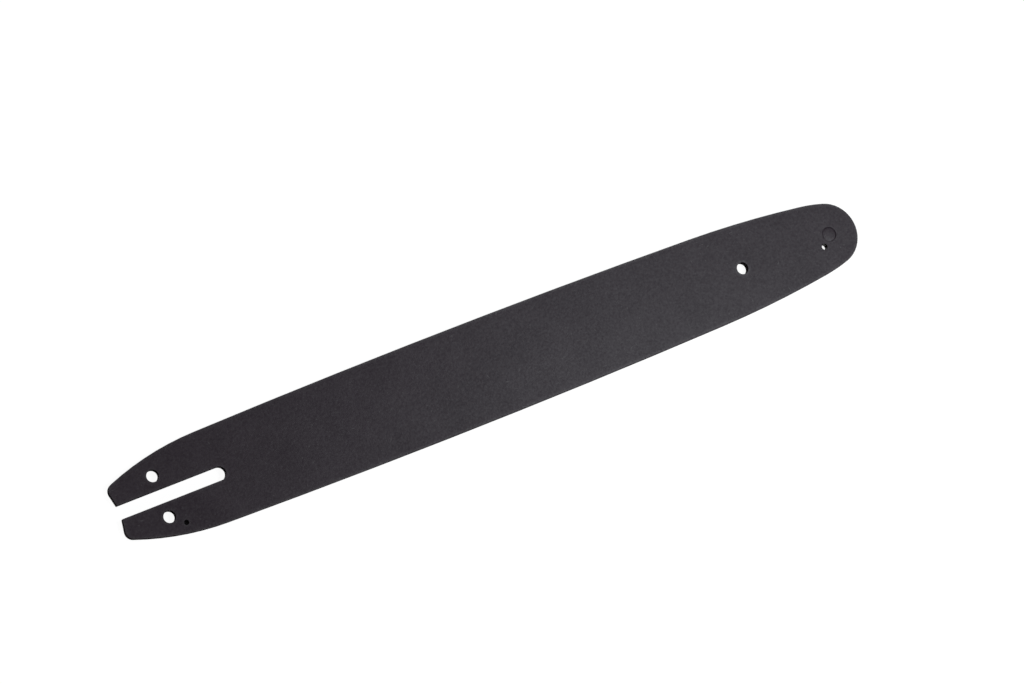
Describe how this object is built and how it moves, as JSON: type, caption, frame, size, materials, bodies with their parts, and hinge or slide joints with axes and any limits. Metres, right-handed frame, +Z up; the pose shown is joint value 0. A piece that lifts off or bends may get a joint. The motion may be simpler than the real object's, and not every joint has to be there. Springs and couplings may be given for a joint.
{
  "type": "chainsaw guide bar",
  "caption": "Long flat laminated steel guide bar with a groove round its edge for the saw chain, a turning sprocket in its round nose and a slotted tail with tensioner holes.",
  "frame": {"origin": "middle of the bar's bottom face, halfway between tail end and nose tip", "axes": "+X along the bar from the slotted tail to the nose, +Y across the bar, +Z up through its thickness"},
  "size_m": [0.45, 0.0546, 0.0042],
  "materials": {
    "plate_paint": "matt charcoal coating",
    "core_steel": "blackened and oiled steel",
    "sprocket_steel": "hardened steel",
    "bearing_steel": "ground steel in dark grease",
    "rivet_paint": "matt charcoal coating"
  },
  "bodies": {
    "bar": {"top_plate": "plate_paint", "core_plate": "core_steel", "bottom_plate": "plate_paint", "bearing_race": "bearing_steel", "nose_rivet": "rivet_paint"},
    "sprocket": {"nose_sprocket": "sprocket_steel"},
    "rollers": {"roller_01": "bearing_steel", "roller_02": "bearing_steel", "roller_03": "bearing_steel", "roller_04": "bearing_steel", "roller_05": "bearing_steel", "roller_06": "bearing_steel", "roller_07": "bearing_steel", "roller_08": "bearing_steel"}
  },
  "joints": [
    {"name": "sprocket_spin", "type": "hinge", "parent": "bar", "child": "sprocket", "pos_m": [0.208, 0, 0.0021], "axis": [0, 0, 1], "continuous": true},
    {"name": "roller_orbit", "type": "hinge", "parent": "bar", "child": "rollers", "pos_m": [0.208, 0, 0.0021], "axis": [0, 0, 1], "continuous": true}
  ],
  "couplings": [
    {"joint": "roller_orbit", "follows": "sprocket_spin", "ratio": 0.60409}
  ]
}
